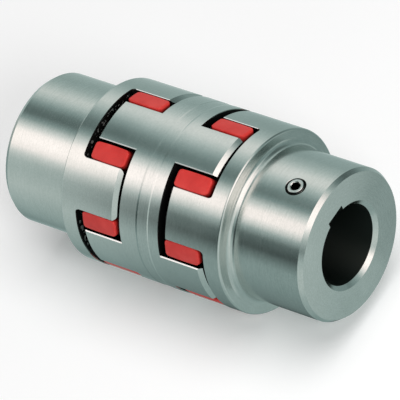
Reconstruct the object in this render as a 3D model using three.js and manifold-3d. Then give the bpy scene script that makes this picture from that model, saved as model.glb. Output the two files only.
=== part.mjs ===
// Double-cardanic jaw coupling: two hubs, two elastomer spiders, one spacer with jaws on both sides
// and two set screws.
// Millimetres, +Z up. +X runs along the shaft axis from the drive hub to the driven hub.
// The origin is on the shaft axis, halfway along the coupling. +Z passes through the driven hub's
// set screw and keyway.
import * as THREE from "three";
import { mergeVertices } from "three/addons/utils/BufferGeometryUtils.js";
import Module from "manifold-3d";

// ---- driving dimensions -------------------------------------------------
// A name ending in _X is a place along the shaft axis, on the driven side.
const OUTER_RADIUS = 40; // flanges, jaws and spacer
const TURNED_SEGMENTS = 64; // facets round a turned surface

// Jaws and arms: each spider's eight arms lie between four hub jaws and four spacer jaws
const JAW_COUNT = 4; // on each side of a spider
const JAW_PITCH = 360 / JAW_COUNT;
const ARM_COUNT = 2 * JAW_COUNT;
const ARM_PITCH = 360 / ARM_COUNT;
const SPIDER_X = 22; // centre plane of a spider
const JAW_REACH = 9.35; // how far jaws reach past that plane
const FLOOR_OFFSET = 11.85; // from that plane to the pocket floors on either side
const JAW_INNER_RADIUS = 24.8;
const JAW_CHAMFER = 1.65; // outer edge at a jaw's free end
const JAW_END_TRIM = 1.6; // degrees off each side of a jaw's inner end
const HUB_JAW_X = SPIDER_X - JAW_REACH; // free end of the hub jaws
const HUB_FLOOR_X = SPIDER_X + FLOOR_OFFSET; // floor of a hub's pockets
const SPACER_JAW_X = SPIDER_X + JAW_REACH; // free end of the spacer jaws
const SPACER_FLOOR_X = SPIDER_X - FLOOR_OFFSET; // half thickness of the spacer's body

// Hub
const HUB_END_X = 79; // 158 mm overall
const FLANGE_BACK_X = 42;
const FLANGE_EDGE = 1; // rounded rim of the flange's back face
const BOSS_RADIUS = 33;
const BOSS_FILLET = 3; // where boss and flange meet
const BOSS_CHAMFER = { along: 2, across: 1.3 }; // at the end face
const BORE_RADIUS = 17.5;
const BORE_CHAMFER = 1.5; // at the end face
const BORE_INNER_CHAMFER = 1; // at the other end of the bore
const KEY_WIDTH = 10;
const KEY_TOP = 20.8; // keyway floor, from the shaft axis
const KEY_CUT = { bottom: 8, length: 60, centreX: HUB_FLOOR_X + 22 };

// The two roundings beside each arm, seen from outside. away = 1 trims the jaw's free corner,
// -1 fills the pocket's corner. Each is carried outwards between the two radii.
const JAW_CORNER = { x: HUB_JAW_X, radius: 2, away: 1, innerRadius: 21, outerRadius: 44 };
const POCKET_CORNER = {
  x: HUB_FLOOR_X,
  radius: 1.5,
  away: -1,
  innerRadius: JAW_INNER_RADIUS + 0.6,
  outerRadius: 39.4,
};
const CORNER_STATION = 38.5; // radius at which the slot's width places them

// Set screw and its tapped hole
const SCREW_X = HUB_END_X - 15.5;
const SCREW_RADIUS = 4; // M8, to the thread's outside
const SCREW_LENGTH = 12;
const SCREW_TOP = 33.4; // from the shaft axis
const SCREW_TOP_CHAMFER = 0.7;
const SCREW_CUP = { radius: 1.2, depth: 1.3 }; // hollow in the inner end
const SCREW_TIP = { radius: 2.7, height: 1.2 }; // flat of the inner end, and the bevel round it
const HEX_ACROSS_FLATS = 4;
const HEX_DEPTH = 4.5;
const HOLE_RADIUS = 4.12; // to the thread's outside
const HOLE_CUT = { length: 20, belowKeyTop: 2 };
const SINK = { depth: 0.6, height: 3 }; // 45 degree countersink: below the boss, and cutter height
const SCREW_SEGMENTS = 32;

// Spider
const SPIDER_WIDTH = 18;
const SPIDER_BORE_RADIUS = 19;
const SPIDER_BORE_CHAMFER = 0.6;
const RING_RADIUS = 23.6; // outside of the ring, between the arms
const RING_SPREAD = 5; // degrees from halfway between two arms to a point of the ring
const ARM_ROOT = { radius: 24.1, station: 25, flare: 0.75 }; // arm widens here into the ring
const ARM_STATIONS = [24.8, 26, 29, 32, 35]; // radii of the points along a flank
const ARM_TIP_RADIUS = 39.7;
const ARM_TIP_EDGE = 0.5; // rounding between tip and flanks
const ARM_HALF = 4.55; // widest half thickness of an arm
const BULGE_RADIUS = 31; // where that is
const ARM_CURVE = 0.0073; // how fast an arm thins either side of it, per mm
const CROWN = 0.3; // how much thinner each flank is at the spider's two faces
const FLANK_EDGE = 2; // rounding of the flanks into the faces
const RIM_EDGE = 1.2; // rounding of the tips and the ring's outside into the faces

// Slots left for the arms
const HUB_CLEARANCE = 0.22; // between an arm and the hub jaw beside it
const SPACER_SLOT = 5.25; // half width of the slots between spacer jaws

// Spacer
const SPACER_BORE_RADIUS = 19;
const BAND = { start: -1.6, end: 5.05, slope: 0.75, depth: 0.13 }; // shallow turned band

// ---- materials ----------------------------------------------------------
const finish = (color, roughness, metalness) =>
  new THREE.MeshStandardMaterial({ color, roughness, metalness });
const METAL = 1;
const NON_METAL = 0;
const steel = finish(0xb9bfbc, 0.34, METAL);
const alloy = finish(0xc0c5c2, 0.32, METAL);
const urethane = finish(0xd93a36, 0.45, NON_METAL);
const blackSteel = finish(0x6d706e, 0.4, METAL);

// ---- solids -------------------------------------------------------------
const wasm = await Module();
wasm.setup();

// A closed three.js geometry as a solid, with its faces pointing out.
function solid(geometry) {
  const bare = geometry.index ? geometry.toNonIndexed() : geometry.clone();
  bare.deleteAttribute("normal");
  bare.deleteAttribute("uv");
  const merged = mergeVertices(bare, 1e-4);
  const { position } = merged.attributes;
  const point = (index) => new THREE.Vector3().fromBufferAttribute(position, index);
  const triangles = [];
  let volume = 0;
  for (let i = 0; i < merged.index.count; i += 3) {
    const corners = [0, 1, 2].map((j) => merged.index.getX(i + j));
    if (new Set(corners).size < 3) continue;
    const [first, second, third] = corners.map(point);
    volume += first.dot(second.cross(third));
    triangles.push(corners);
  }
  if (volume < 0) triangles.forEach((corners) => corners.reverse());
  return new wasm.Manifold(
    new wasm.Mesh({
      numProp: 3,
      vertProperties: new Float32Array(position.array),
      triVerts: new Uint32Array(triangles.flat()),
    }),
  );
}

function geometryOf(body) {
  const { numProp, numVert, vertProperties, triVerts } = body.getMesh();
  const positions = new Float32Array(numVert * 3);
  for (let i = 0; i < numVert; i++) {
    positions.set(vertProperties.subarray(i * numProp, i * numProp + 3), i * 3);
  }
  const geometry = new THREE.BufferGeometry();
  geometry.setAttribute("position", new THREE.BufferAttribute(positions, 3));
  geometry.setIndex(new THREE.BufferAttribute(new Uint32Array(triVerts), 1));
  geometry.computeVertexNormals();
  return geometry;
}

const vectors = (points) => points.map(([u, v]) => new THREE.Vector2(u, v));

// A closed profile of [x, radius] turned about the X axis.
function turned(profile) {
  const points = [...profile, profile[0]].map(([x, radius]) => new THREE.Vector2(radius, x));
  return solid(new THREE.LatheGeometry(points, TURNED_SEGMENTS).rotateZ(-Math.PI / 2));
}

// A closed outline carried through depth. The rows of a 4 x 4 matrix place it.
function extruded(outline, depth, rows) {
  const shape = new THREE.Shape(vectors(outline));
  const geometry = new THREE.ExtrudeGeometry(shape, { depth, bevelEnabled: false });
  return solid(geometry.applyMatrix4(new THREE.Matrix4().set(...rows.flat())));
}

// A closed outline of [y, z] carried along X.
function prism(outline, startX, endX) {
  const rows = [[0, 0, 1, startX], [1, 0, 0, 0], [0, 1, 0, 0], [0, 0, 0, 1]];
  return extruded(outline, endX - startX, rows);
}

// Closed outlines of [y, z] with equal point counts, one for each x, joined into one body.
function lofted(sections) {
  const count = sections[0].outline.length;
  const positions = sections.flatMap(({ x, outline }) => outline.flatMap(([y, z]) => [x, y, z]));
  const triangles = [];
  for (let i = 0; i + 1 < sections.length; i++) {
    for (let k = 0; k < count; k++) {
      const here = i * count + k;
      const next = i * count + ((k + 1) % count);
      triangles.push(here, next, next + count, here, next + count, here + count);
    }
  }
  for (const end of [0, sections.length - 1]) {
    const flat = vectors(sections[end].outline);
    for (const face of THREE.ShapeUtils.triangulateShape(flat, [])) {
      const [first, second, third] = face.map((index) => end * count + index);
      triangles.push(...(end === 0 ? [first, third, second] : [first, second, third]));
    }
  }
  const geometry = new THREE.BufferGeometry();
  geometry.setAttribute("position", new THREE.Float32BufferAttribute(positions, 3));
  geometry.setIndex(triangles);
  return solid(geometry);
}

// ---- plane geometry, angles in degrees ----------------------------------
const DEGREE = Math.PI / 180;
const polar = (radius, angle) => [
  radius * Math.cos(angle * DEGREE),
  radius * Math.sin(angle * DEGREE),
];

// Points on an arc about [centreU, centreV].
function arc(centreU, centreV, radius, start, end, steps) {
  return Array.from({ length: steps + 1 }, (_, i) => {
    const [u, v] = polar(radius, start + ((end - start) * i) / steps);
    return [centreU + u, centreV + v];
  });
}

// Direction of arm k. Arms sit half a pitch either side of a jaw's middle.
const armAngle = (k) => ARM_PITCH * (k + 0.5);

// Half thickness of an arm at a radius, and of the slots that hub and spacer jaws leave for it.
const armHalf = (radius) => ARM_HALF - ARM_CURVE * (radius - BULGE_RADIUS) ** 2;
const hubSlot = (radius) => armHalf(radius) + HUB_CLEARANCE;
const spacerSlot = () => SPACER_SLOT;

// Angle from the middle of a jaw to its flank at a radius.
const flankAngle = (radius, slot) => ARM_PITCH / 2 - Math.asin(slot(radius) / radius) / DEGREE;

// ---- pockets: all that is not jaw ---------------------------------------
// A cutter with gaps for four jaws, the first of them centred on firstJaw.
function pockets(firstJaw, slot, startX, endX) {
  const cutRadius = 48; // outside the part
  const lastFlankRadius = 44; // flanks run radially from the angle reached here
  const radii = [cutRadius, 40, 37, 34, 31, 28, JAW_INNER_RADIUS + 1.2];
  const innerHalf = flankAngle(JAW_INNER_RADIUS, slot) - JAW_END_TRIM;
  const outerHalf = flankAngle(lastFlankRadius, slot);
  const opening = JAW_PITCH - 2 * outerHalf;
  const outline = [];
  for (let k = 0; k < JAW_COUNT; k++) {
    const middle = firstJaw + JAW_PITCH * k;
    const flank = (side) => (radius) =>
      polar(radius, middle + side * flankAngle(Math.min(radius, lastFlankRadius), slot));
    // along one flank inwards, round the jaw's inner end, and out again
    outline.push(...radii.map(flank(-1)));
    outline.push(...arc(0, 0, JAW_INNER_RADIUS, middle - innerHalf, middle + innerHalf, 4));
    outline.push(...[...radii].reverse().map(flank(1)));
    // across the open side of the pocket
    for (let i = 1; i < 4; i++) {
      outline.push(polar(cutRadius, middle + outerHalf + (opening * i) / 4));
    }
  }
  return prism(outline, startX, endX);
}

// ---- hub, with its boss towards +X and its jaws towards -X --------------
// What lies between a square corner and its rounding, in a plane of x and the offset from an
// arm's middle. side = 1 puts it anticlockwise of the arm, seen from +X.
function cornerPiece({ x, radius, away, innerRadius, outerRadius }, angle, side) {
  const overrun = 0.8; // how far it reaches past the two faces
  const offset = hubSlot(CORNER_STATION);
  const centreX = x + away * radius;
  const centreOffset = offset + away * radius;
  const start = away > 0 ? 180 : 0;
  const outline = [
    ...arc(centreX, centreOffset, radius, start, start + 90, 6),
    [centreX, offset - away * overrun],
    [x - away * overrun, offset - away * overrun],
    [x - away * overrun, centreOffset],
  ];
  // x stays; the offset runs across the arm towards the jaw; depth runs outwards along the arm
  const [cos, sin] = polar(1, angle);
  return extruded(outline, outerRadius - innerRadius, [
    [1, 0, 0, 0],
    [0, -sin * side, cos, innerRadius * cos],
    [0, cos * side, sin, innerRadius * sin],
    [0, 0, 0, 1],
  ]);
}

function hubBlank() {
  const innerRadius = JAW_INNER_RADIUS - 0.4; // a little inside the finished jaws
  const edge = FLANGE_EDGE;
  const fillet = BOSS_FILLET;
  return turned([
    [HUB_JAW_X, innerRadius],
    [HUB_JAW_X, OUTER_RADIUS - JAW_CHAMFER],
    [HUB_JAW_X + JAW_CHAMFER, OUTER_RADIUS],
    ...arc(FLANGE_BACK_X - edge, OUTER_RADIUS - edge, edge, 90, 0, 3),
    ...arc(FLANGE_BACK_X + fillet, BOSS_RADIUS + fillet, fillet, 180, 270, 4),
    [HUB_END_X - BOSS_CHAMFER.along, BOSS_RADIUS],
    [HUB_END_X, BOSS_RADIUS - BOSS_CHAMFER.across],
    [HUB_END_X, BORE_RADIUS + BORE_CHAMFER],
    [HUB_END_X - BORE_CHAMFER, BORE_RADIUS],
    [HUB_FLOOR_X + BORE_INNER_CHAMFER, BORE_RADIUS],
    [HUB_FLOOR_X, BORE_RADIUS + BORE_INNER_CHAMFER],
    [HUB_FLOOR_X, innerRadius],
  ]);
}

function keyway() {
  const { bottom, length, centreX } = KEY_CUT;
  const box = new THREE.BoxGeometry(length, KEY_WIDTH, KEY_TOP - bottom);
  return solid(box.translate(centreX, 0, (KEY_TOP + bottom) / 2));
}

// A cone or cylinder standing along Z at the set screw, from bottom upwards.
function screwCutter(bottomRadius, topRadius, bottom, height) {
  const cone = new THREE.CylinderGeometry(bottomRadius, topRadius, height, SCREW_SEGMENTS);
  return solid(cone.rotateX(-Math.PI / 2).translate(SCREW_X, 0, bottom + height / 2));
}

function hub() {
  let body = hubBlank().subtract(pockets(ARM_PITCH, hubSlot, HUB_JAW_X - 2, HUB_FLOOR_X));
  for (let k = 0; k < ARM_COUNT; k++) {
    const side = k % 2 ? -1 : 1; // towards the hub jaw beside this arm
    body = body.subtract(cornerPiece(JAW_CORNER, armAngle(k), side));
    body = body.add(cornerPiece(POCKET_CORNER, armAngle(k), side));
  }
  const holeBottom = KEY_TOP - HOLE_CUT.belowKeyTop;
  const sinkRadius = HOLE_RADIUS + SINK.height;
  return body
    .subtract(keyway())
    .subtract(screwCutter(HOLE_RADIUS, HOLE_RADIUS, holeBottom, HOLE_CUT.length))
    .subtract(screwCutter(HOLE_RADIUS, sinkRadius, BOSS_RADIUS - SINK.depth, SINK.height));
}

// ---- spider, centred on its own plane -----------------------------------
// Outline of ring and arms, its flanks drawn in by thin, and its tips and roots by short.
function spiderOutline(thin, short) {
  const tip = ARM_TIP_RADIUS - short;
  const edge = ARM_TIP_EDGE;
  const half = (radius) => armHalf(radius) - thin;
  // one side of an arm from root to tip: [radius, offset from the arm's middle]
  const armSide = [
    [ARM_ROOT.radius - short / 2, half(ARM_ROOT.station) + ARM_ROOT.flare],
    ...[...ARM_STATIONS, tip - edge].map((radius) => [radius, half(radius)]),
    [tip - 0.3 * edge, half(tip) - 0.3 * edge],
    [tip, half(tip) - edge],
  ];
  const arm = [
    ...armSide.map(([radius, offset]) => [radius, -offset]),
    [tip, 0],
    ...[...armSide].reverse(),
  ];
  const outline = [];
  for (let k = 0; k < ARM_COUNT; k++) {
    const angle = armAngle(k);
    for (const [radius, offset] of arm) {
      outline.push(polar(radius, angle + Math.asin(offset / radius) / DEGREE));
    }
    for (const spread of [-RING_SPREAD, RING_SPREAD]) {
      outline.push(polar(RING_RADIUS - short / 2, angle + ARM_PITCH / 2 + spread));
    }
  }
  return outline;
}

function spider() {
  const face = SPIDER_WIDTH / 2;
  const overrun = 1;
  const bore = turned([
    [-face - overrun, 0],
    [-face - overrun, SPIDER_BORE_RADIUS + 1],
    [-face, SPIDER_BORE_RADIUS + SPIDER_BORE_CHAMFER],
    [-face + SPIDER_BORE_CHAMFER, SPIDER_BORE_RADIUS],
    [face - SPIDER_BORE_CHAMFER, SPIDER_BORE_RADIUS],
    [face, SPIDER_BORE_RADIUS + SPIDER_BORE_CHAMFER],
    [face + overrun, SPIDER_BORE_RADIUS + 1],
    [face + overrun, 0],
  ]);
  // how far an edge rounding draws the outline in at x
  const drawnIn = (x, radius) => {
    const past = Math.max(0, Math.abs(x) - (face - radius));
    return radius - Math.sqrt(Math.max(0, radius * radius - past * past));
  };
  // the flanks are crowned along X, and run into a rounded edge at both faces
  const places = [0, ...[4.5, FLANK_EDGE, RIM_EDGE, 0.6, 0.2, 0].map((inset) => face - inset)];
  const mirrored = places.slice(1).reverse().map((x) => -x);
  const sections = [...mirrored, ...places].map((x) => {
    const thin = CROWN * (x / face) ** 2 + drawnIn(x, FLANK_EDGE);
    return { x, outline: spiderOutline(thin, drawnIn(x, RIM_EDGE)) };
  });
  return lofted(sections).subtract(bore);
}

// ---- spacer, with jaws towards both ends --------------------------------
function spacer() {
  const jawEnd = SPACER_JAW_X;
  const bandRadius = OUTER_RADIUS - BAND.depth;
  return turned([
    [-jawEnd, SPACER_BORE_RADIUS],
    [-jawEnd, OUTER_RADIUS - JAW_CHAMFER],
    [-jawEnd + JAW_CHAMFER, OUTER_RADIUS],
    [BAND.start, OUTER_RADIUS],
    [BAND.start + BAND.slope, bandRadius],
    [BAND.end - BAND.slope, bandRadius],
    [BAND.end, OUTER_RADIUS],
    [jawEnd - JAW_CHAMFER, OUTER_RADIUS],
    [jawEnd, OUTER_RADIUS - JAW_CHAMFER],
    [jawEnd, SPACER_BORE_RADIUS],
  ])
    .subtract(pockets(0, spacerSlot, -jawEnd - 2, -SPACER_FLOOR_X))
    .subtract(pockets(0, spacerSlot, SPACER_FLOOR_X, jawEnd + 2));
}

// ---- set screw, its own axis along +Z, z = 0 at its top -----------------
function setScrew() {
  // [radius, z]
  const profile = vectors([
    [0, -SCREW_LENGTH + SCREW_CUP.depth],
    [SCREW_CUP.radius, -SCREW_LENGTH],
    [SCREW_TIP.radius, -SCREW_LENGTH],
    [SCREW_RADIUS, -SCREW_LENGTH + SCREW_TIP.height],
    [SCREW_RADIUS, -SCREW_TOP_CHAMFER],
    [SCREW_RADIUS - SCREW_TOP_CHAMFER, 0],
    [0, 0],
  ]);
  const body = new THREE.LatheGeometry(profile, SCREW_SEGMENTS).rotateX(Math.PI / 2);
  const hexRadius = HEX_ACROSS_FLATS / Math.sqrt(3);
  const socket = new THREE.CylinderGeometry(hexRadius, hexRadius, HEX_DEPTH * 2, 6);
  return solid(body).subtract(solid(socket.rotateX(Math.PI / 2)));
}

// ---- assembly -----------------------------------------------------------
function add(parent, name, geometry, material) {
  const mesh = new THREE.Mesh(geometry, material);
  mesh.name = name;
  parent.add(mesh);
  return mesh;
}

const coupling = new THREE.Group();
const hubGeometry = geometryOf(hub());
const spiderGeometry = geometryOf(spider());
const screwGeometry = geometryOf(setScrew());

// The drive side, left, is the driven side turned end for end about Y: keyway and screw face down.
for (const [side, turn] of [["right", 0], ["left", Math.PI]]) {
  const end = new THREE.Group();
  end.rotation.y = turn;
  add(end, `${side}_hub`, hubGeometry, steel);
  const screw = add(end, `${side}_set_screw`, screwGeometry, blackSteel);
  screw.position.set(SCREW_X, 0, SCREW_TOP);
  coupling.add(end);
}

add(coupling, "right_spider", spiderGeometry, urethane).position.x = SPIDER_X;
add(coupling, "left_spider", spiderGeometry, urethane).position.x = -SPIDER_X;
add(coupling, "spacer", geometryOf(spacer()), alloy);

export default coupling;
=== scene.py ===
# A double-cardanic jaw coupling: two turned steel hubs and a spacer, two moulded polyurethane stars
# between their jaws, and a set screw in each hub.
# The shaft axis is X and the spacer sits at the origin. The right hub is on +X with its set screw
# on +Z; the left half is the right half turned end for end about Y.
# Lengths are in millimetres up to the mesh helpers; the scene itself is in metres.
import math
from types import SimpleNamespace

import bmesh
import bpy
import numpy as np
from mathutils import Matrix, Vector


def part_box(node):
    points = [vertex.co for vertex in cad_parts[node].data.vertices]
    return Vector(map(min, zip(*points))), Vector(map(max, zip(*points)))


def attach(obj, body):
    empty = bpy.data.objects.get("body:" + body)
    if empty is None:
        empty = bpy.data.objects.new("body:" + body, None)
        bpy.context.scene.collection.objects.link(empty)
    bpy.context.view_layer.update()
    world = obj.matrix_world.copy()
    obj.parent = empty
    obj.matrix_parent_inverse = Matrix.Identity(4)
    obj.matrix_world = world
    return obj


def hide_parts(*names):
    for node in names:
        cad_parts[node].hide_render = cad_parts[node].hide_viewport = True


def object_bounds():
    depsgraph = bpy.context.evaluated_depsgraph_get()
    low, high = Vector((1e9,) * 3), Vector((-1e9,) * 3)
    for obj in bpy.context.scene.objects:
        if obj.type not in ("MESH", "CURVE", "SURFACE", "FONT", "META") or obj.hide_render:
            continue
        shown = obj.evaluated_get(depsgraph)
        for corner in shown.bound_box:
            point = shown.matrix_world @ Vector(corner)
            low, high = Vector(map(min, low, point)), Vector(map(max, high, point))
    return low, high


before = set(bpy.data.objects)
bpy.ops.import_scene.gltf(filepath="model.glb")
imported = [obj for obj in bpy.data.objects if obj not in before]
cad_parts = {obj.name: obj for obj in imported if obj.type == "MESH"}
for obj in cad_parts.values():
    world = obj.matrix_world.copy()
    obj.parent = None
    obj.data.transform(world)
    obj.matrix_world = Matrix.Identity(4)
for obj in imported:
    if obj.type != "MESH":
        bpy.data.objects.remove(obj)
cad_low, cad_high = [list(corner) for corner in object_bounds()]
MM = 0.001
rad = math.radians

# ---- dimensions: X_ is a place along the shaft, R_ a radius ----------------
hub_low, hub_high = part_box("right_hub")
star_low, star_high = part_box("right_spider")
screw_low, screw_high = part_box("right_set_screw")
X_END = hub_high.x / MM
X_HUB_JAW = hub_low.x / MM  # free ends of the hub's jaws
X_SPACER_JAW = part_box("spacer")[1].x / MM
X_STAR0, X_STAR1 = star_low.x / MM, star_high.x / MM
X_SCREW = (screw_high.x + screw_low.x) / 2 / MM
Z_SCREW0, Z_SCREW1 = screw_low.z / MM, screw_high.z / MM

X_BODY = 10.15  # floors of the spacer's pockets
X_ROOT = 33.85  # floors of the hub's pockets
X_FLANGE = 42.0
R_BORE = 17.5
R_BOSS = 33.0
R_JAW = hub_high.y / MM
R_JAW_INNER = 24.8
JAW_CHAMFER = 1.65
HUB_BREAK, SPACER_BREAK = 0.25, 0.45  # broken edges along the jaws' flanks
KEY_WIDTH, KEY_TOP = 10.0, 20.8
R_HOLE, R_SCREW = 4.12, 4.0

ARM_STEP = 360 / 8  # eight arms to a star, between four jaws from each side
JAW_STEP = 2 * ARM_STEP
R_STAR_BORE, R_STAR_ROOT, R_ARM = 19.0, 23.6, 39.7
ARM_EDGE = 0.5  # rounding between an arm's flanks and its tip
ARM_HALF, R_BULGE, ARM_CURVE = 4.55, 31.0, 0.0073  # widest half width, its radius, the falling off
ARM_CROWN = 0.3
HUB_CLEAR = 0.22
SPACER_SLOT = 5.25


def arm_half(r):
    """Half the width of a star's arm at radius r."""
    return ARM_HALF - ARM_CURVE * (r - R_BULGE) ** 2


def hub_slot(r):
    """Half the gap between the hub's jaw and the middle of the next arm."""
    return arm_half(r) + HUB_CLEAR


def spacer_slot(r):
    return SPACER_SLOT


# ---- mesh helpers ----------------------------------------------------------
def mesh_object(name, verts, faces):
    mesh = bpy.data.meshes.new(name)
    mesh.from_pydata([Vector(v) * MM for v in verts], [], faces)
    mesh.update()
    bm = bmesh.new()
    bm.from_mesh(mesh)
    bmesh.ops.remove_doubles(bm, verts=bm.verts, dist=1e-8)
    bmesh.ops.recalc_face_normals(bm, faces=bm.faces)
    bm.to_mesh(mesh)
    bm.free()
    obj = bpy.data.objects.new(name, mesh)
    bpy.context.scene.collection.objects.link(obj)
    return obj


def lathe(name, profile, segments, axis="X"):
    """A closed profile of (along, r) turned about X, from +Y to +Z, or about Z, from +X to +Y."""
    verts, faces, n = [], [], len(profile)
    for i in range(segments):
        turn = 2 * math.pi * i / segments
        for along, r in profile:
            u, v = r * math.cos(turn), r * math.sin(turn)
            verts.append((along, u, v) if axis == "X" else (u, v, along))
    for i in range(segments):
        j = (i + 1) % segments
        for k in range(n):
            m = (k + 1) % n
            face = [i * n + k, i * n + m]
            if profile[m][1] != 0:
                face.append(j * n + m)
            if profile[k][1] != 0:
                face.append(j * n + k)
            if len(face) > 2:
                faces.append(face)
    return mesh_object(name, verts, faces)


# Carries an outline of (y, z) along X
ALONG_X = Matrix(((0, 0, 1, 0), (1, 0, 0, 0), (0, 1, 0, 0), (0, 0, 0, 1)))


def extrude(name, outline, start, end, matrix):
    """A closed outline of (a, b) carried from depth start to end, then moved by a matrix."""
    n = len(outline)
    verts = [matrix @ Vector((a, b, depth)) for depth in (start, end) for a, b in outline]
    faces = [list(range(n)), list(range(2 * n - 1, n - 1, -1))]
    faces += [[k, (k + 1) % n, n + (k + 1) % n, n + k] for k in range(n)]
    return mesh_object(name, verts, faces)


def loft(name, sections):
    """Sections of (x, outline), each outline with as many (y, z) points, joined into one body."""
    n = len(sections[0][1])
    verts = [(x, y, z) for x, outline in sections for y, z in outline]
    faces = []
    for i in range(len(sections) - 1):
        for k in range(n):
            a, b = i * n + k, i * n + (k + 1) % n
            faces.append([a, b, b + n, a + n])
    last = (len(sections) - 1) * n
    faces += [list(range(n))[::-1], list(range(last, last + n))]
    return mesh_object(name, verts, faces)


def subtract(obj, *cutters):
    for cutter in cutters:
        cut = obj.modifiers.new("cut", "BOOLEAN")
        cut.object, cut.operation, cut.solver = cutter, "DIFFERENCE", "EXACT"
        bpy.context.view_layer.update()
        depsgraph = bpy.context.evaluated_depsgraph_get()
        mesh = bpy.data.meshes.new_from_object(obj.evaluated_get(depsgraph))
        obj.modifiers.clear()
        old = obj.data
        obj.data = mesh
        bpy.data.meshes.remove(old)
        bpy.data.objects.remove(cutter)


def tidy(obj):
    """Merges coincident points and coplanar faces left by the cuts."""
    bm = bmesh.new()
    bm.from_mesh(obj.data)
    bmesh.ops.remove_doubles(bm, verts=bm.verts, dist=2e-6)
    bmesh.ops.dissolve_degenerate(bm, edges=bm.edges, dist=1e-6)
    bmesh.ops.dissolve_limit(bm, angle_limit=rad(0.15), verts=bm.verts, edges=bm.edges)
    bmesh.ops.recalc_face_normals(bm, faces=bm.faces)
    bm.to_mesh(obj.data)
    bm.free()


def smooth_up_to(obj, angle):
    mesh = obj.data
    mesh.polygons.foreach_set("use_smooth", [True] * len(mesh.polygons))
    mesh.set_sharp_from_angle(angle=rad(angle))


def weight_normals(obj):
    weighted = obj.modifiers.new("normals", "WEIGHTED_NORMAL")
    weighted.keep_sharp, weighted.weight = True, 80


def mark_broken_edges(obj, width):
    """The jaws' broken edges, narrow 45 degree faces at the outer radius, take material slot 1,
    which paints a highlight on them.
    """
    for face in obj.data.polygons:
        c, n = face.center, face.normal
        r = math.hypot(c.y, c.z)
        outward = (n.y * c.y + n.z * c.z) / r
        at_rim = r > (R_JAW - width - 0.05) * MM
        face.material_index = 1 if at_rim and 0.45 < outward < 0.93 and abs(n.x) < 0.2 else 0


def polar(r, degrees):
    return (r * math.cos(rad(degrees)), r * math.sin(rad(degrees)))


def arc(x, r, radius, start, end, steps):
    """Points of (x, r) on an arc round a centre, between two angles."""
    turns = [rad(start + (end - start) * i / steps) for i in range(steps + 1)]
    return [(x + radius * math.cos(t), r + radius * math.sin(t)) for t in turns]


# ---- the spaces between jaws -----------------------------------------------
def jaw_half_angle(r, slot):
    return ARM_STEP / 2 - math.degrees(math.asin(slot(r) / r))


def pockets(first, slot, x0, x1, broken):
    """A cutter for all that isn't jaw; the four jaws are centred on first, first + 90 and so on."""
    outside, past_rim, near_rim = 48, 44, 41.0
    knee = R_JAW - broken  # above it the jaws' edges are broken at 45 degrees
    radii = [48.0, 43.0, near_rim, knee]
    radii += [float(r) for r in np.linspace(knee - 1.2, R_JAW_INNER + 1.0, 13)]

    def widened(r):
        return slot(r) + max(0.0, min(r, near_rim) - knee)

    inner = jaw_half_angle(R_JAW_INNER, slot) - 1.6  # leaves the jaw's inner corners blunt
    outer = jaw_half_angle(past_rim, slot)
    outline = []
    for k in range(4):
        mid = first + JAW_STEP * k
        outline += [polar(r, mid - jaw_half_angle(min(r, past_rim), widened)) for r in radii]
        outline += [polar(R_JAW_INNER, mid - inner + 2 * inner * i / 8) for i in range(9)]
        outline += [polar(r, mid + jaw_half_angle(min(r, past_rim), widened)) for r in radii[::-1]]
        gap = JAW_STEP - 2 * outer
        outline += [polar(outside, mid + outer + gap * i / 6) for i in range(1, 6)]
    return extrude("cut", outline, x0, x1, ALONG_X)


def corner_cutters(x, radius, direction, r0, r1):
    """At each arm, what lies between a square corner at x and its rounding, from r0 to r1.

    direction is the side of x, -1 or 1, on which the rounding lies."""
    extra, steps = 0.8, 8  # how far the cutter reaches past the corner
    v = hub_slot(39.8)
    centre_x, centre_v = x + direction * radius, v + direction * radius
    outline = []
    for i in range(steps + 1):
        t = i / steps * math.pi / 2
        outline.append((centre_x - direction * radius * math.cos(t),
                        centre_v - direction * radius * math.sin(t)))
    past_x, past_v = x - direction * extra, v - direction * extra
    outline += [(centre_x, past_v), (past_x, past_v), (past_x, centre_v)]
    cutters = []
    for k in range(8):
        mid, side = rad(ARM_STEP / 2 + ARM_STEP * k), -1 if k % 2 else 1
        c, s = math.cos(mid), math.sin(mid)
        frame = Matrix(((1, 0, 0, 0), (0, -s * side, c, 0), (0, c * side, s, 0), (0, 0, 0, 1)))
        cutters.append(extrude("cut", outline, r0, r1, frame))
    return cutters


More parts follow.
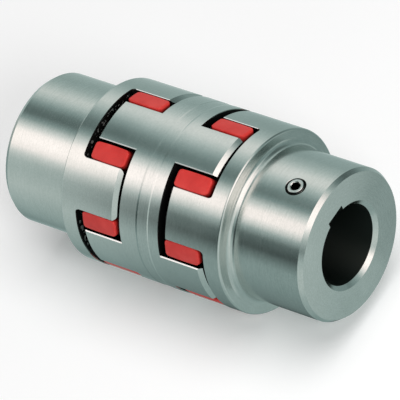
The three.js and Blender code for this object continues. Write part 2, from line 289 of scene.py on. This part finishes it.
# ---- pieces of the right half, and the spacer ------------------------------
def build_hub(name):
    inside, rim = 3.0, 1.0  # roundings of the flange: inside corner to the boss, and rim
    profile = [(X_HUB_JAW, R_JAW_INNER - 0.5), (X_HUB_JAW, R_JAW - JAW_CHAMFER),
               (X_HUB_JAW + JAW_CHAMFER, R_JAW)]
    profile += arc(X_FLANGE - rim, R_JAW - rim, rim, 90, 0, 8)
    profile += arc(X_FLANGE + inside, R_BOSS + inside, inside, 180, 270, 10)
    profile += [
        (X_END - 2.0, R_BOSS),
        (X_END, R_BOSS - 1.3),
        (X_END, R_BORE + 1.8),
        (X_END - 1.6, R_BORE),
        (X_ROOT + 1.0, R_BORE),
        (X_ROOT, R_BORE + 1.0),
        (X_ROOT, R_JAW_INNER - 0.5),
    ]
    hub = lathe(name, profile, 256)
    cutter = pockets(45, hub_slot, X_HUB_JAW - 2, X_ROOT, HUB_BREAK)
    subtract(cutter, *corner_cutters(X_ROOT, 1.5, -1, 21, 52))  # round the pockets' own corners
    subtract(hub, cutter)
    subtract(hub, *corner_cutters(X_HUB_JAW, 2.0, 1, 21, 44))  # and those of the jaws' free ends
    tidy(hub)  # before the hole: merged afterwards, the keyway's floor would close over it

    half = KEY_WIDTH / 2
    outline = [(-half, 8), (half, 8), (half, KEY_TOP), (-half, KEY_TOP)]
    keyway = extrude("cut", outline, X_ROOT - 8, X_END + 3, ALONG_X)
    profile = [
        (KEY_TOP - 2, 0),
        (KEY_TOP - 2, R_HOLE),
        (R_BOSS - 0.6, R_HOLE),
        (R_BOSS + 2.4, R_HOLE + 3),
        (R_BOSS + 2.4, 0),
    ]
    hole = lathe("cut", profile, 64, "Z")
    hole.data.transform(Matrix.Translation((X_SCREW * MM, 0, 0)))
    subtract(hub, keyway, hole)
    smooth_up_to(hub, 30)
    mark_broken_edges(hub, HUB_BREAK)
    weight_normals(hub)
    return hub


def build_spacer(name):
    band0, band1, band_step, band_depth = -0.85, 4.3, 0.75, 0.13  # a shallow turned band
    profile = [
        (-X_SPACER_JAW, 19.0),
        (-X_SPACER_JAW, R_JAW - JAW_CHAMFER),
        (-X_SPACER_JAW + JAW_CHAMFER, R_JAW),
        (band0 - band_step, R_JAW),
        (band0, R_JAW - band_depth),
        (band1, R_JAW - band_depth),
        (band1 + band_step, R_JAW),
        (X_SPACER_JAW - JAW_CHAMFER, R_JAW),
        (X_SPACER_JAW, R_JAW - JAW_CHAMFER),
        (X_SPACER_JAW, 19.0),
    ]
    body = lathe(name, profile, 288)
    for x0, x1 in ((-X_SPACER_JAW - 2, -X_BODY), (X_BODY, X_SPACER_JAW + 2)):
        subtract(body, pockets(0, spacer_slot, x0, x1, SPACER_BREAK))
    tidy(body)
    smooth_up_to(body, 7)
    mark_broken_edges(body, SPACER_BREAK)
    weight_normals(body)
    return body


def star_outline(thin, short):
    """Ring and arms, with the flanks drawn in by thin, and tips and roots by short."""
    tip_r = R_ARM - short
    flank_end = tip_r - ARM_EDGE
    half_tip = arm_half(flank_end) - thin - ARM_EDGE
    # an arm's side as (radius, half width), from root to tip
    side = [(24.1 - short / 2, arm_half(25) + 0.75 - thin),
            (24.5 - short / 2, arm_half(25) + 0.26 - thin)]
    side += [(float(r), arm_half(r) - thin) for r in np.linspace(25.4, flank_end - 0.3, 9)]
    for i in range(7):
        t = (i + 0.5) / 7 * math.pi / 2
        side.append((flank_end + ARM_EDGE * math.sin(t), half_tip + ARM_EDGE * math.cos(t)))
    arm = [(r, -v) for r, v in side]
    arm += [(tip_r, share * half_tip) for share in (-0.9, -0.45, 0, 0.45, 0.9)]
    arm += side[::-1]
    outline = []
    for k in range(8):
        mid = ARM_STEP / 2 + ARM_STEP * k
        c, s = math.cos(rad(mid)), math.sin(rad(mid))
        for r, v in arm:
            u = math.sqrt(r * r - v * v)
            outline.append((u * c - v * s, u * s + v * c))
        outline += [polar(R_STAR_ROOT - short / 2, mid + ARM_STEP / 2 + turn)
                    for turn in (-5.2, -2.6, 0, 2.6, 5.2)]
    return outline


def build_star(name):
    # seen along its radius an arm is a rectangle with rounded corners; its tip is rounded less
    middle, half = (X_STAR0 + X_STAR1) / 2, (X_STAR1 - X_STAR0) / 2
    corner_r, tip_r = 2.1, 1.2

    def rounded(x, r):
        past = max(0.0, abs(x) - (half - r))
        return r - math.sqrt(max(0.0, r * r - past * past))

    stations = [0.0, half * 0.22, half * 0.44, half * 0.64]
    stations += [half - corner_r + corner_r * math.sin(rad(t))
                 for t in (0, 12, 24, 34, 44, 54, 63, 71, 78, 84, 90)]
    sections = []
    for x in [-x for x in reversed(stations[1:])] + stations:
        thin = ARM_CROWN * (x / half) ** 2 + rounded(x, corner_r)
        sections.append((middle + x, star_outline(thin, rounded(x, tip_r))))
    star = loft(name, sections)
    flare = R_STAR_BORE + 1.6
    subtract(star, lathe("cut", [
        (X_STAR0 - 1, 0),
        (X_STAR0 - 1, flare),
        (X_STAR0 + 0.6, R_STAR_BORE),
        (X_STAR1 - 0.6, R_STAR_BORE),
        (X_STAR1 + 1, flare),
        (X_STAR1 + 1, 0),
    ], 128))
    smooth_up_to(star, 40)
    weight_normals(star)
    return star


def build_screw(name):
    """An M8 set screw standing on +Z, with a rolled thread, a cup point and a hexagon socket."""
    pitch, minor, across_flats = 1.25, 3.3, 4.0
    low, high = Z_SCREW0, Z_SCREW1
    segments, row_height = 72, 0.0625
    rows = int(round((high - low) / row_height))
    verts, faces = [], []
    for i in range(rows + 1):
        z = low + (high - low) * i / rows
        for k in range(segments):
            turn = k / segments
            phase = ((z / pitch) - turn) % 1.0
            rise = 1 - abs(2 * phase - 1)  # 0 in the root, 1 at the crest
            r = minor + (R_SCREW - minor) * min(1.0, max(0.0, (rise - 0.12) / 0.72))
            r = min(r, R_SCREW - 0.75 + (high - z), 2.8 + (z - low))  # chamfered ends
            r = max(r, 2.7)
            verts.append((r * math.cos(2 * math.pi * turn), r * math.sin(2 * math.pi * turn), z))
    for i in range(rows):
        for k in range(segments):
            a, b = i * segments + k, i * segments + (k + 1) % segments
            faces.append([a, b, b + segments, a + segments])
    faces.append(list(range(segments))[::-1])
    faces.append([rows * segments + k for k in range(segments)])
    screw = mesh_object(name, verts, faces)
    r = across_flats / math.sqrt(3)  # over the hexagon's corners
    hexagon = [polar(r, 60 * i + 30) for i in range(6)]
    socket = extrude("cut", hexagon, high - 4.5, high + 1, Matrix.Identity(4))
    profile = [(high - 0.5, 0), (high - 0.5, r - 0.35), (high + 0.5, r + 0.65), (high + 0.5, 0)]
    lead_in = lathe("cut", profile, 48, "Z")
    cup = lathe("cut", [(low - 0.5, 0), (low - 0.5, 2.7), (low + 0.9, 0.6), (low + 0.9, 0)], 48, "Z")
    subtract(screw, socket, lead_in, cup)
    smooth_up_to(screw, 28)
    screw.data.transform(Matrix.Translation((X_SCREW * MM, 0, 0)))
    return screw


# ---- node helpers ----------------------------------------------------------
class Graph:
    """Short hand for building the node tree of a material or world."""

    def __init__(self, owner):
        owner.use_nodes = True
        self.owner, self.tree = owner, owner.node_tree

    def find(self, kind):
        return next(n for n in self.tree.nodes if n.type == kind)

    def fill(self, node, inputs):
        """Links sockets and sets values."""
        for key, value in inputs.items():
            if isinstance(value, bpy.types.NodeSocket):
                self.tree.links.new(value, node.inputs[key])
            else:
                node.inputs[key].default_value = value

    def node(self, kind, inputs=None, **props):
        node = self.tree.nodes.new(kind)
        for key, value in props.items():
            setattr(node, key, value)
        self.fill(node, inputs or {})
        return node

    def shade(self, inputs):
        self.fill(self.find("BSDF_PRINCIPLED"), inputs)

    def object_place(self):
        return self.node("ShaderNodeTexCoord").outputs["Object"]

    def split(self, vector):
        return self.node("ShaderNodeSeparateXYZ", {0: vector}).outputs

    def math(self, operation, a, b=0.0):
        return self.node("ShaderNodeMath", {0: a, 1: b}, operation=operation).outputs[0]

    def hypot(self, a, b):
        squares = self.math("ADD", self.math("MULTIPLY", a, a), self.math("MULTIPLY", b, b))
        return self.math("SQRT", squares)

    def weighted(self, *terms):
        """The sum of (value, weight) terms."""
        total, *others = [self.math("MULTIPLY", value, weight) for value, weight in terms]
        for other in others:
            total = self.math("ADD", total, other)
        return total

    def noise(self, vector, scale, detail, roughness=0.5):
        inputs = {"Vector": vector, "Scale": scale, "Detail": detail, "Roughness": roughness}
        return self.node("ShaderNodeTexNoise", inputs).outputs[0]

    def ramp(self, value, stops):
        """A colour ramp through stops of (position, colour)."""
        node = self.node("ShaderNodeValToRGB", {0: value})
        elements = node.color_ramp.elements
        while len(elements) > 1:
            elements.remove(elements[-1])
        elements[0].position, elements[0].color = stops[0][0], (*stops[0][1], 1)
        for position, colour in stops[1:]:
            elements.new(position).color = (*colour, 1)
        return node.outputs[0]

    def mix(self, mask, a, b):
        """Colour a, or b where the mask is 1."""
        return self.node("ShaderNodeMix", {0: mask, 6: a, 7: b}, data_type="RGBA").outputs[2]

    def above(self, value, fade):
        """0 before the fade (from, to), 1 past it."""
        inputs = {"Value": value, "From Min": fade[0], "From Max": fade[1]}
        return self.node("ShaderNodeMapRange", inputs, clamp=True).outputs[0]

    def invert(self, mask):
        return self.math("SUBTRACT", 1.0, mask)

    def below(self, value, fade):
        return self.invert(self.above(value, fade))

    def all(self, mask, *others):
        for other in others:
            mask = self.math("MULTIPLY", mask, other)
        return mask

    def bump(self, height, strength, distance):
        inputs = {"Height": height, "Strength": strength, "Distance": distance}
        return self.node("ShaderNodeBump", inputs).outputs[0]


def new_material(name):
    return Graph(bpy.data.materials.new(name))


# ---- materials -------------------------------------------------------------
# (light, dark) tones of the metals
STEEL = ((0.70, 0.72, 0.70), (0.58, 0.61, 0.585))
ALLOY = ((0.71, 0.73, 0.71), (0.59, 0.62, 0.60))
SCREW_STEEL = ((0.80, 0.82, 0.80), (0.66, 0.68, 0.66))
EDGE_HIGHLIGHT = ((0.90, 0.92, 0.90), (0.80, 0.82, 0.80))  # paler edges: a painted highlight along the jaws' broken edges
# Near black: painted shade in the screw's socket, and the colour of its thread
THREAD_BLACK_SOCKET_SHADE = (0.012, 0.013, 0.012, 1)
# Painted shade: near black in the pockets and the tapped hole, dark grey-green in the bore, and
# rougher
PAINTED_SHADE = (0.022, 0.022, 0.022, 1)
PAINTED_SHADE_BORE = (0.050, 0.062, 0.056, 1)
# Painted glints of light, pale spots on the shaded pocket floors
PAINTED_GLINT = (0.62, 0.64, 0.62, 1)
PAINTED_SHADE_ROUGHNESS = 0.5

# Where the bare metal fades into the painted shade, the painted glints and the black thread, as
# (from, to), in millimetres
SOCKET_R, SOCKET_RIM_Z = (2.55, 2.65), (Z_SCREW1 - 0.5, Z_SCREW1 - 0.35)
THREAD_R = (3.35, 3.5)
JAW_RIM_R = (39.5, 39.8)
HUB_POCKET_X, SPACER_POCKET_X = (34.25, 34.65), (9.6, 9.9)
HOLE_EDGE, HOLE_TOP_R = (4.62, 4.72), (32.84, 32.93)
BORE_R, SPACER_INSIDE_R = (21.5, 21.7), (19.4, 19.6)
FLOOR_X, FLOOR_R0, FLOOR_R1 = (33.55, 33.75), (36.2, 36.6), (38.2, 38.6)
# the same for components of the normal, and for the noise that places painted glints on the pocket
# floors
ROUND_FACE, SIDE_FACE, END_FACE, SPOTS = (0.03, 0.22), (0.2, 0.4), (0.5, 0.7), (0.56, 0.62)


def black_thread_shaded_socket(g, at, colour, roughness):
    """A black thread, and the hexagon socket in painted shade, with a bare ring between them."""
    socket = g.all(g.below(at.radius_mm, SOCKET_R), g.below(at.along_mm, SOCKET_RIM_Z))
    black = g.math("MAXIMUM", socket, g.above(at.radius_mm, THREAD_R))
    return g.mix(black, colour, THREAD_BLACK_SOCKET_SHADE), roughness


def true_normal(g):
    return g.split(g.node("ShaderNodeNewGeometry").outputs["True Normal"])


def jaw_walls(g, at, normal):
    """Inside the rim, the faces that don't look outwards."""
    outward = g.math("ADD", g.math("MULTIPLY", normal[1], at.u),
                     g.math("MULTIPLY", normal[2], at.v))
    outward = g.math("DIVIDE", outward, at.radius)
    bare = g.math("MAXIMUM", g.above(at.radius_mm, JAW_RIM_R), g.above(outward, ROUND_FACE))
    return g.invert(bare)


# Mixes in painted shade, darker and rougher, where the mask is 1
def paint_shade(g, mask, colour, roughness, shade_colour):
    rough = g.node("ShaderNodeMix", {0: mask, 2: roughness, 3: PAINTED_SHADE_ROUGHNESS}).outputs[0]
    return g.mix(mask, colour, shade_colour), rough


def hub_painted_shade(g, at, colour, roughness):
    """Painted shade, near black and rougher, on the walls in the pockets and the tapped hole, dark
    grey-green in the bore; painted glints on the pocket floors.
    """
    normal = true_normal(g)
    recess = g.all(jaw_walls(g, at, normal), g.below(at.along_mm, HUB_POCKET_X))
    hole = g.hypot(g.math("SUBTRACT", at.along_mm, X_SCREW), g.math("MULTIPLY", at.u, 1000.0))
    hole = g.all(g.below(hole, HOLE_EDGE), g.below(at.radius_mm, HOLE_TOP_R))
    bore = g.all(g.below(at.radius_mm, BORE_R),
                 g.below(g.math("ABSOLUTE", normal[0]), SIDE_FACE))
    # painted glints of light in spots on the floor of a pocket
    floor_ring = g.all(g.above(at.along_mm, FLOOR_X), g.above(at.radius_mm, FLOOR_R0),
                       g.below(at.radius_mm, FLOOR_R1),
                       g.above(g.math("ABSOLUTE", normal[0]), END_FACE))
    spots = g.above(g.noise(at.place, scale=560.0, detail=1.0), SPOTS)
    shade_colour = g.mix(g.all(floor_ring, spots), PAINTED_SHADE, PAINTED_GLINT)
    shade_colour = g.mix(bore, shade_colour, PAINTED_SHADE_BORE)
    shaded_walls = g.math("MAXIMUM", g.math("MAXIMUM", recess, bore), hole)
    return paint_shade(g, shaded_walls, colour, roughness, shade_colour)


def spacer_painted_shade(g, at, colour, roughness):
    """Painted shade, near black and rougher, on the walls in the pockets and inside."""
    recess = g.all(jaw_walls(g, at, true_normal(g)), g.above(at.along_mm, SPACER_POCKET_X))
    shaded_walls = g.math("MAXIMUM", recess, g.below(at.radius_mm, SPACER_INSIDE_R))
    return paint_shade(g, shaded_walls, colour, roughness, PAINTED_SHADE)


def turned_metal(name, tones, shade_and_finish, axis="X", centre_x=0, rough=0.16, aniso=0.7, metallic=1.0):
    """Metal turned about an axis through centre_x (in metres); the function given changes it in
    places, painting in shade, glints and the screw's black thread.
    """
    g = new_material(name)
    offset = {0: g.object_place(), 1: (centre_x, 0, 0)}
    place = g.node("ShaderNodeVectorMath", offset, operation="SUBTRACT").outputs[0]
    x, y, z = g.split(place)[:3]
    along, u, v = (x, y, z) if axis == "X" else (z, x, y)
    radius = g.hypot(u, v)
    # turning marks follow the place along the axis and the radius, and drift a little with angle
    drift = g.math("MULTIPLY", g.math("ARCTAN2", v, u), 0.0016)
    ring = g.node("ShaderNodeCombineXYZ", {0: along, 1: radius}).outputs[0]
    drifting = g.node("ShaderNodeCombineXYZ", {0: along, 1: radius, 2: drift}).outputs[0]
    fine = g.noise(drifting, scale=4200.0, detail=3.0, roughness=0.6)
    feed = g.noise(ring, scale=700.0, detail=2.0)
    broad = g.noise(place, scale=55.0, detail=3.0, roughness=0.55)
    speck = g.noise(place, scale=1100.0, detail=2.0)

    light, dark = tones
    tone = g.weighted((fine, 0.45), (broad, 0.3), (speck, 0.25))
    colour = g.ramp(tone, [(0.36, dark), (0.62, light)])
    roughness = g.math("ADD", g.math("MULTIPLY", broad, 0.06), rough - 0.06)
    roughness = g.math("ADD", g.math("MULTIPLY", fine, 0.06), roughness)
    at = SimpleNamespace(
        place=place, u=u, v=v, radius=radius,
        radius_mm=g.math("MULTIPLY", radius, 1000.0),
        along_mm=g.math("MULTIPLY", g.math("ABSOLUTE", along), 1000.0),
    )
    colour, roughness = shade_and_finish(g, at, colour, roughness)
    tangent = g.node("ShaderNodeTangent", direction_type="RADIAL", axis=axis).outputs[0]
    g.shade({
        "Base Color": colour,
        "Metallic": metallic,
        "Roughness": roughness,
        "Anisotropic": aniso,
        "Anisotropic Rotation": 0.25,
        "Tangent": tangent,
        "Normal": g.bump(g.weighted((fine, 0.6), (feed, 0.4)), strength=0.12, distance=0.00004),
    })
    return g.owner


def screw_metal(name, centre_x):
    return turned_metal(name, SCREW_STEEL, black_thread_shaded_socket, "Z", centre_x, rough=0.32, aniso=0.2)


def polyurethane(name):
    g = new_material(name)
    place = g.object_place()
    broad = g.noise(place, scale=120.0, detail=4.0, roughness=0.6)
    grain = g.noise(place, scale=1500.0, detail=3.0, roughness=0.55)
    reds = [(0.3, (0.57, 0.026, 0.022)), (0.5, (0.64, 0.034, 0.029)), (0.72, (0.70, 0.052, 0.043))]
    _, y, z = g.split(place)[:3]
    shaded_inwards = g.above(g.hypot(y, z), (0.0391, 0.0370))  # painted shade inwards of the arms' tips, where the jaws shade them; radii in metres
    g.shade({
        "Base Color": g.mix(shaded_inwards, g.ramp(broad, reds), (0.10, 0.006, 0.005, 1)),
        "Roughness": g.math("ADD", g.math("MULTIPLY", grain, 0.14), 0.29),
        "Subsurface Weight": 0.08,
        "Subsurface Radius": (0.0022, 0.0006, 0.0004),
        "Subsurface Scale": 1.0,
        "Specular IOR Level": 0.45,
        "Normal": g.bump(g.weighted((grain, 0.5), (broad, 0.5)), strength=0.22, distance=0.00012),
    })
    return g.owner


# Slot 1, on the jaws' broken edges, is paler and less metallic: a painted edge highlight.
hub_metal = [turned_metal("hub_turned_steel", STEEL, hub_painted_shade),
             turned_metal("hub_edge_highlight", EDGE_HIGHLIGHT, hub_painted_shade, metallic=0.45)]
spacer_metal = [turned_metal("spacer_turned_metal", ALLOY, spacer_painted_shade),
                turned_metal("spacer_edge_highlight", EDGE_HIGHLIGHT, spacer_painted_shade, metallic=0.45)]
screw_metal_right = [screw_metal("screw_steel_right", X_SCREW * MM)]
screw_metal_left = [screw_metal("screw_steel_left", -X_SCREW * MM)]
star_red = [polyurethane("red_polyurethane")]


# ---- assembly --------------------------------------------------------------
def copy_turned(source, name):
    """A copy turned end for end about Y."""
    obj = source.copy()
    obj.data = source.data.copy()
    obj.name = name
    bpy.context.scene.collection.objects.link(obj)
    obj.data.transform(Matrix.Rotation(math.pi, 4, "Y"))
    return obj


def dress(obj, materials, piece):
    indices = [min(face.material_index, len(materials) - 1) for face in obj.data.polygons]
    obj.data.materials.clear()
    for material in materials:
        obj.data.materials.append(material)
    obj.data.polygons.foreach_set("material_index", indices)  # clearing the materials resets them
    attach(obj, piece)
    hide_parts(piece)


right_hub = build_hub("hub_right")
left_hub = copy_turned(right_hub, "hub_left")
spacer = build_spacer("spacer_body")
right_star = build_star("star_right")
left_star = copy_turned(right_star, "star_left")
right_screw = build_screw("set_screw_right")
left_screw = copy_turned(right_screw, "set_screw_left")

dress(right_hub, hub_metal, "right_hub")
dress(left_hub, hub_metal, "left_hub")
dress(spacer, spacer_metal, "spacer")
dress(right_star, star_red, "right_spider")
dress(left_star, star_red, "left_spider")
dress(right_screw, screw_metal_right, "right_set_screw")
dress(left_screw, screw_metal_left, "left_set_screw")

# ---- camera ----------------------------------------------------------------
# The view frame is the CAD frame before the coupling is spun about its shaft axis.
AZIMUTH, ELEVATION, ROLL = 37.168, 20.624, 3.619  # degrees
AIM_ACROSS, AIM_UP = -0.018, -0.060  # degrees off the origin
SPIN = 36.1  # how far the coupling is turned about its axis in the view, in degrees
DISTANCE = 1956.8
FOCAL_LENGTH = 421.857


def rotation(axis, degrees):
    """Rotation about X, Y or Z (0, 1, 2)."""
    c, s = math.cos(rad(degrees)), math.sin(rad(degrees))
    i, j = (axis + 1) % 3, (axis + 2) % 3
    matrix = np.eye(3)
    matrix[i, i] = matrix[j, j] = c
    matrix[i, j], matrix[j, i] = -s, s
    return matrix


azimuth, elevation = rad(AZIMUTH), rad(ELEVATION)
back = np.array([math.sin(azimuth) * math.cos(elevation),
                 -math.cos(azimuth) * math.cos(elevation),
                 math.sin(elevation)])  # from the origin to the camera, in the view frame
right = np.cross([0, 0, 1], back)
right /= np.linalg.norm(right)
view = np.array([right, np.cross(back, right), back])
view = rotation(2, -ROLL) @ rotation(0, -AIM_UP) @ rotation(1, -AIM_ACROSS) @ view
to_cad = rotation(0, -SPIN)
pose = np.eye(4)
pose[:3, :3] = to_cad @ view.T
pose[:3, 3] = to_cad @ (back * DISTANCE) * MM

scene = bpy.context.scene
camera = bpy.data.objects.new("camera", bpy.data.cameras.new("camera"))
scene.collection.objects.link(camera)
camera.matrix_world = Matrix(pose.tolist())
camera.data.sensor_width = 36.0
camera.data.lens = FOCAL_LENGTH
camera.data.clip_start, camera.data.clip_end = 0.05, 20
scene.camera = camera


# ---- floor (from here on, lengths are in metres) ---------------------------
def stage_object(name, verts, faces, material):
    mesh = bpy.data.meshes.new(name)
    mesh.from_pydata(verts, [], faces)
    mesh.materials.append(material)
    obj = bpy.data.objects.new(name, mesh)
    scene.collection.objects.link(obj)
    return obj


def floor_paper():
    g = new_material("floor_paper")
    noise = g.noise(g.object_place(), scale=4.0, detail=2.0)
    g.shade({
        "Base Color": g.ramp(noise, [(0.3, (0.90, 0.90, 0.90)), (0.7, (0.92, 0.92, 0.92))]),
        "Roughness": 0.9,
        "Specular IOR Level": 0.0,
        "Emission Color": (1, 1, 1, 1),
        "Emission Strength": 0.13,
    })
    return g.owner


floor = stage_object("floor", [(-4, -4, 0), (4, -4, 0), (4, 4, 0), (-4, 4, 0)], [[0, 1, 2, 3]],
                     floor_paper())
floor.location = (0, 0, cad_low[2] - 0.0003)
floor.visible_glossy = False

# ---- light tent ------------------------------------------------------------
# A wide tube round the shaft axis, seen only by reflections. Its brightness changes with the angle
# and along the axis, as soft boxes and the gaps between them would.
TENT_R, TENT_X, TENT_SEGMENTS, TENT_STRENGTH = 0.35, 1.4, 96, 1.42
VIEW = math.degrees(math.atan2(back[2], back[1]))  # the view's own angle about the axis

# Brightness as (angle of the surface that mirrors it, in degrees; level)
LEFT = [
    (68, 0.48), (78, 0.36), (95, 0.32), (103, 0.38), (109, 0.50), (115, 0.60), (121, 0.46),
    (126, 0.28), (131, 0.15), (136, 0.12), (141, 0.29), (146, 0.62), (151, 0.96), (157, 1.0),
    (162, 0.90), (167, 0.62), (172, 0.47), (178, 0.44), (192, 0.48), (206, 0.39), (218, 0.31),
    (228, 0.22), (236, 0.26), (241, 0.40)]
RIGHT = [
    (68, 0.42), (78, 0.32), (95, 0.31), (103, 0.40), (109, 0.52), (114, 0.64), (119, 0.64),
    (124, 0.50), (129, 0.34), (134, 0.21), (138, 0.17), (142, 0.26), (147, 0.60), (152, 0.90),
    (157, 0.92), (161, 0.68), (165, 0.36), (170, 0.12), (178, 0.060), (184, 0.17), (190, 0.27),
    (197, 0.275), (208, 0.235), (226, 0.165), (234, 0.11), (241, 0.04)]
# the same for surfaces tilted towards +X, more and more
MID = [
    (70, 0.35), (90, 0.25), (110, 0.42), (120, 0.52), (130, 0.38), (140, 0.25), (150, 0.30),
    (160, 0.11), (170, 0.04), (180, 0.04), (190, 0.26), (200, 0.38), (210, 0.33), (230, 0.25)]
NEAR = [
    (80, 0.23), (90, 0.13), (101, 0.10), (110, 0.18), (120, 0.44), (130, 0.86), (140, 1.0),
    (151, 1.0), (157, 0.62), (162, 0.36), (170, 0.17), (178, 0.38), (188, 0.46), (200, 0.46),
    (210, 0.37), (220, 0.33), (230, 0.31)]
FAR = [
    (70, 0.24), (90, 0.22), (102, 0.27), (111, 0.36), (120, 0.64), (127, 0.92), (136, 1.05),
    (150, 1.05), (158, 0.70), (166, 0.52), (180, 0.55), (190, 0.51), (200, 0.46), (210, 0.43),
    (225, 0.40), (240, 0.38)]
FAR_SEAM = 0.46  # level of the far band at the tent's seam
# Bands from -X to +X: levels, x, radius and tilt in degrees of the surfaces that mirror the band,
# and the stretch of the tent over which it takes over from the band before
BANDS = [
    (LEFT, -0.053, 0.033, 0, None),
    (RIGHT, 0.045, 0.035, 0, (-0.262, -0.205)),
    (MID, 0.044, 0.0333, 12, (-0.085, -0.045)),
    (NEAR, 0.078, 0.0323, 33, (0.045, 0.100)),
    (FAR, 0.043, 0.034, 45, (0.290, 0.325)),
]


def tent_angle(theta, x, r, tilt):
    """Where on the tent, as a share of a turn, a surface at x and radius r mirrors the view.

    Its normal points to theta, tilted towards +X."""
    c, s = math.cos(rad(tilt)), math.sin(rad(tilt))
    around = (math.cos(rad(theta)), math.sin(rad(theta)))
    normal = np.array([s, c * around[0], c * around[1]])
    ray = 2 * float(normal @ back) * normal - back
    start = np.array([x, r * around[0], r * around[1]])
    # the ray meets the tube where qa t^2 + 2 qb t + qc = 0
    qa = ray[1] ** 2 + ray[2] ** 2
    qb = start[1] * ray[1] + start[2] * ray[2]
    qc = start[1] ** 2 + start[2] ** 2 - TENT_R**2
    hit = start + (-qb + math.sqrt(qb * qb - qa * qc)) / qa * ray
    return ((math.degrees(math.atan2(hit[2], hit[1])) - VIEW + 180) % 360) / 360


def tint(level):
    """Soft boxes are a little warm, the room between them a little cool."""
    share = min(1.0, max(0.0, (level - 0.25) / 0.6))
    cool, warm = (0.73, 1.0, 0.97), (1.10, 1.0, 0.97)
    return tuple(level * (c * (1 - share) + w * share) for c, w in zip(cool, warm))


def tent_light():
    g = new_material("light_tent")
    g.tree.nodes.remove(g.find("BSDF_PRINCIPLED"))
    x, y, z = g.split(g.object_place())[:3]
    angle = g.math("MULTIPLY", g.math("ARCTAN2", z, y), 180 / math.pi)
    angle = g.math("ADD", angle, SPIN - VIEW + 180)  # view frame, seam behind the coupling
    share = g.math("DIVIDE", g.math("FLOORED_MODULO", angle, 360.0), 360.0)
    light = None
    for levels, at_x, radius, tilt, fade in BANDS:
        stops = [(tent_angle(theta, at_x, radius, tilt), tint(level)) for theta, level in levels]
        if levels is FAR:
            stops += [(0.0, tint(FAR_SEAM)), (1.0, tint(FAR_SEAM))]
        colour = g.ramp(share, sorted(stops))
        light = g.mix(g.above(x, fade), light, colour) if fade else colour
    emission = g.node("ShaderNodeEmission", {"Color": light, "Strength": TENT_STRENGTH})
    g.fill(g.find("OUTPUT_MATERIAL"), {"Surface": emission.outputs[0]})
    g.owner.cycles.emission_sampling = "NONE"
    return g.owner


tube_verts, tube_faces = [], []
for i in range(TENT_SEGMENTS):
    turn = 2 * math.pi * i / TENT_SEGMENTS
    y, z = TENT_R * math.cos(turn), TENT_R * math.sin(turn)
    tube_verts += [(-TENT_X, y, z), (TENT_X, y, z)]
    j = (i + 1) % TENT_SEGMENTS
    tube_faces.append([2 * i, 2 * i + 1, 2 * j + 1, 2 * j])
tent = stage_object("light_tent", tube_verts, tube_faces, tent_light())
for ray_kind in ("camera", "diffuse", "transmission", "shadow", "volume_scatter"):
    setattr(tent, "visible_" + ray_kind, False)

# ---- world and lamps -------------------------------------------------------
world = bpy.data.worlds.new("studio")
scene.world = world
g = Graph(world)
g.tree.nodes.clear()


def background(colour, strength):
    inputs = {"Color": (*colour, 1), "Strength": strength}
    return g.node("ShaderNodeBackground", inputs).outputs[0]


ray = g.node("ShaderNodeLightPath").outputs
plain = background((1, 1, 1), strength=0.28)
mirrored = background((0.40, 0.45, 0.43), strength=1.0)
seen = background((0.93, 0.93, 0.93), strength=1.0)
sky = g.node("ShaderNodeMixShader", {0: ray["Is Glossy Ray"], 1: plain, 2: mirrored}).outputs[0]
sky = g.node("ShaderNodeMixShader", {0: ray["Is Camera Ray"], 1: sky, 2: seen}).outputs[0]
g.node("ShaderNodeOutputWorld", {"Surface": sky})


def lamp(name, direction, distance, size, power):
    """A disc lamp aimed at the origin, its direction given in the view frame."""
    data = bpy.data.lights.new(name, "AREA")
    data.shape, data.size, data.energy = "DISK", size, power
    obj = bpy.data.objects.new(name, data)
    place = Vector((to_cad @ np.array(direction) * distance).tolist())
    obj.location = place
    obj.rotation_mode = "QUATERNION"
    obj.rotation_quaternion = (-place).to_track_quat("-Z", "Y")
    scene.collection.objects.link(obj)
    obj.visible_glossy = False


lamp("key", (0.25, -0.50, 0.83), distance=1.7, size=1.4, power=17.0)
lamp("front", (0.72, -0.62, 0.30), distance=1.5, size=0.5, power=7.0)

scene.view_settings.view_transform = "Standard"
scene.view_settings.look = "None"
